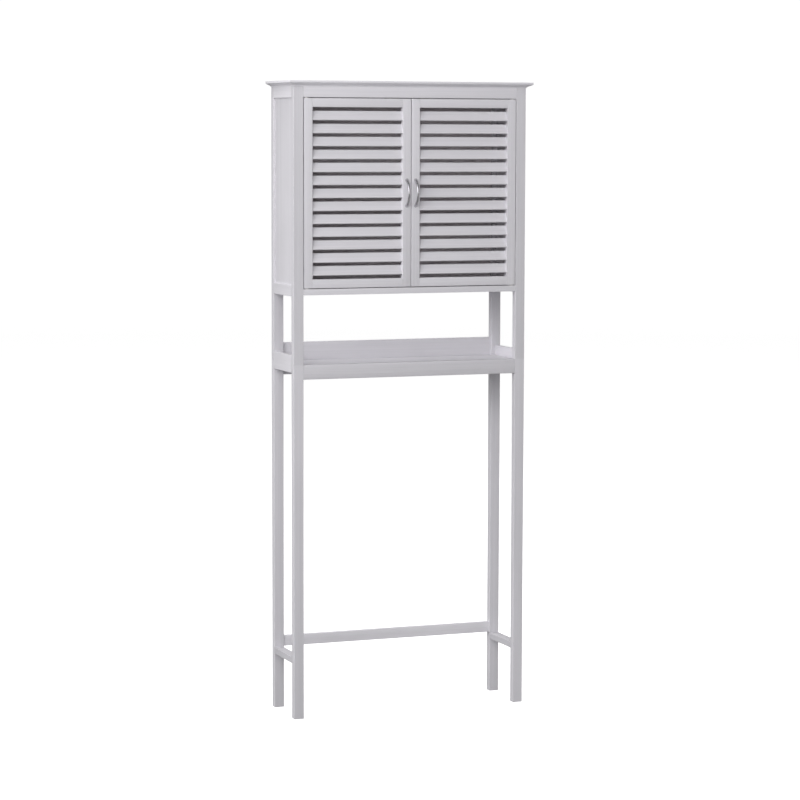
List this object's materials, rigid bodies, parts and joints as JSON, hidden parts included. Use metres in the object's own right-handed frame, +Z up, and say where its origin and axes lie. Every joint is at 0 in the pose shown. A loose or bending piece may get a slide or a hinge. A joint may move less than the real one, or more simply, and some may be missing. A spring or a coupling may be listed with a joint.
{
  "type": "over the toilet storage rack",
  "caption": "Tall freestanding bathroom rack that straddles a toilet: slim legs, low stretchers, an open shelf and a shallow cabinet with louvred hinged doors.",
  "frame": {"origin": "on the floor, at the middle of the rack's bounding box in plan", "axes": "+Z up, +X to the right as seen from the front, -Y towards the front with the doors"},
  "size_m": [0.696, 0.206, 1.7],
  "materials": {
    "painted_wood": "light cool grey satin paint over wood, with a faint vertical grain",
    "painted_interior": "light cool grey matt paint over thin board",
    "satin_nickel": "polished satin nickel plate",
    "zinc_steel": "bright zinc plated steel",
    "nylon": "moulded off-white nylon"
  },
  "bodies": {
    "frame": {"back_panel": "painted_interior", "back_top_rail": "painted_wood", "cabinet_floor": "painted_wood", "crown_board": "painted_wood", "front_frieze": "painted_wood", "front_left_leg": "painted_wood", "front_left_leg_bolt": "zinc_steel", "front_left_post": "painted_wood", "front_right_leg": "painted_wood", "front_right_leg_bolt": "zinc_steel", "front_right_post": "painted_wood", "inner_shelf": "painted_interior", "left_front_shelf_pin": "zinc_steel", "left_lower_hinge_bush": "nylon", "left_lower_side_rail": "painted_wood", "left_magnetic_catch": "nylon", "left_rear_shelf_pin": "zinc_steel", "left_shelf_rail": "painted_wood", "left_side_panel": "painted_wood", "left_stretcher": "painted_wood", "left_upper_hinge_bush": "nylon", "left_upper_side_rail": "painted_wood", "rear_left_leg": "painted_wood", "rear_left_leg_bolt": "zinc_steel", "rear_left_post": "painted_wood", "rear_right_leg": "painted_wood", "rear_right_leg_bolt": "zinc_steel", "rear_right_post": "painted_wood", "rear_stretcher": "painted_wood", "right_front_shelf_pin": "zinc_steel", "right_lower_hinge_bush": "nylon", "right_lower_side_rail": "painted_wood", "right_magnetic_catch": "nylon", "right_rear_shelf_pin": "zinc_steel", "right_shelf_rail": "painted_wood", "right_side_panel": "painted_wood", "right_stretcher": "painted_wood", "right_upper_hinge_bush": "nylon", "right_upper_side_rail": "painted_wood", "shelf_back_board": "painted_wood", "shelf_board": "painted_wood", "shelf_front_board": "painted_wood"},
    "left_door": {"left_door_bottom_rail": "painted_wood", "left_door_handle": "satin_nickel", "left_door_hinge_stile": "painted_wood", "left_door_louvres": "painted_wood", "left_door_meeting_stile": "painted_wood", "left_door_top_rail": "painted_wood", "left_lower_hinge_pin": "zinc_steel", "left_strike_plate": "zinc_steel", "left_upper_hinge_pin": "zinc_steel"},
    "right_door": {"right_door_bottom_rail": "painted_wood", "right_door_handle": "satin_nickel", "right_door_hinge_stile": "painted_wood", "right_door_louvres": "painted_wood", "right_door_meeting_stile": "painted_wood", "right_door_top_rail": "painted_wood", "right_lower_hinge_pin": "zinc_steel", "right_strike_plate": "zinc_steel", "right_upper_hinge_pin": "zinc_steel"}
  },
  "joints": [
    {"name": "left_door_hinge", "type": "hinge", "parent": "frame", "child": "left_door", "pos_m": [-0.2935, -0.0778, 1.40375], "axis": [0, 0, -1], "range_deg": [0, 110]},
    {"name": "right_door_hinge", "type": "hinge", "parent": "frame", "child": "right_door", "pos_m": [0.2935, -0.0778, 1.40375], "axis": [0, 0, 1], "range_deg": [0, 110]}
  ]
}
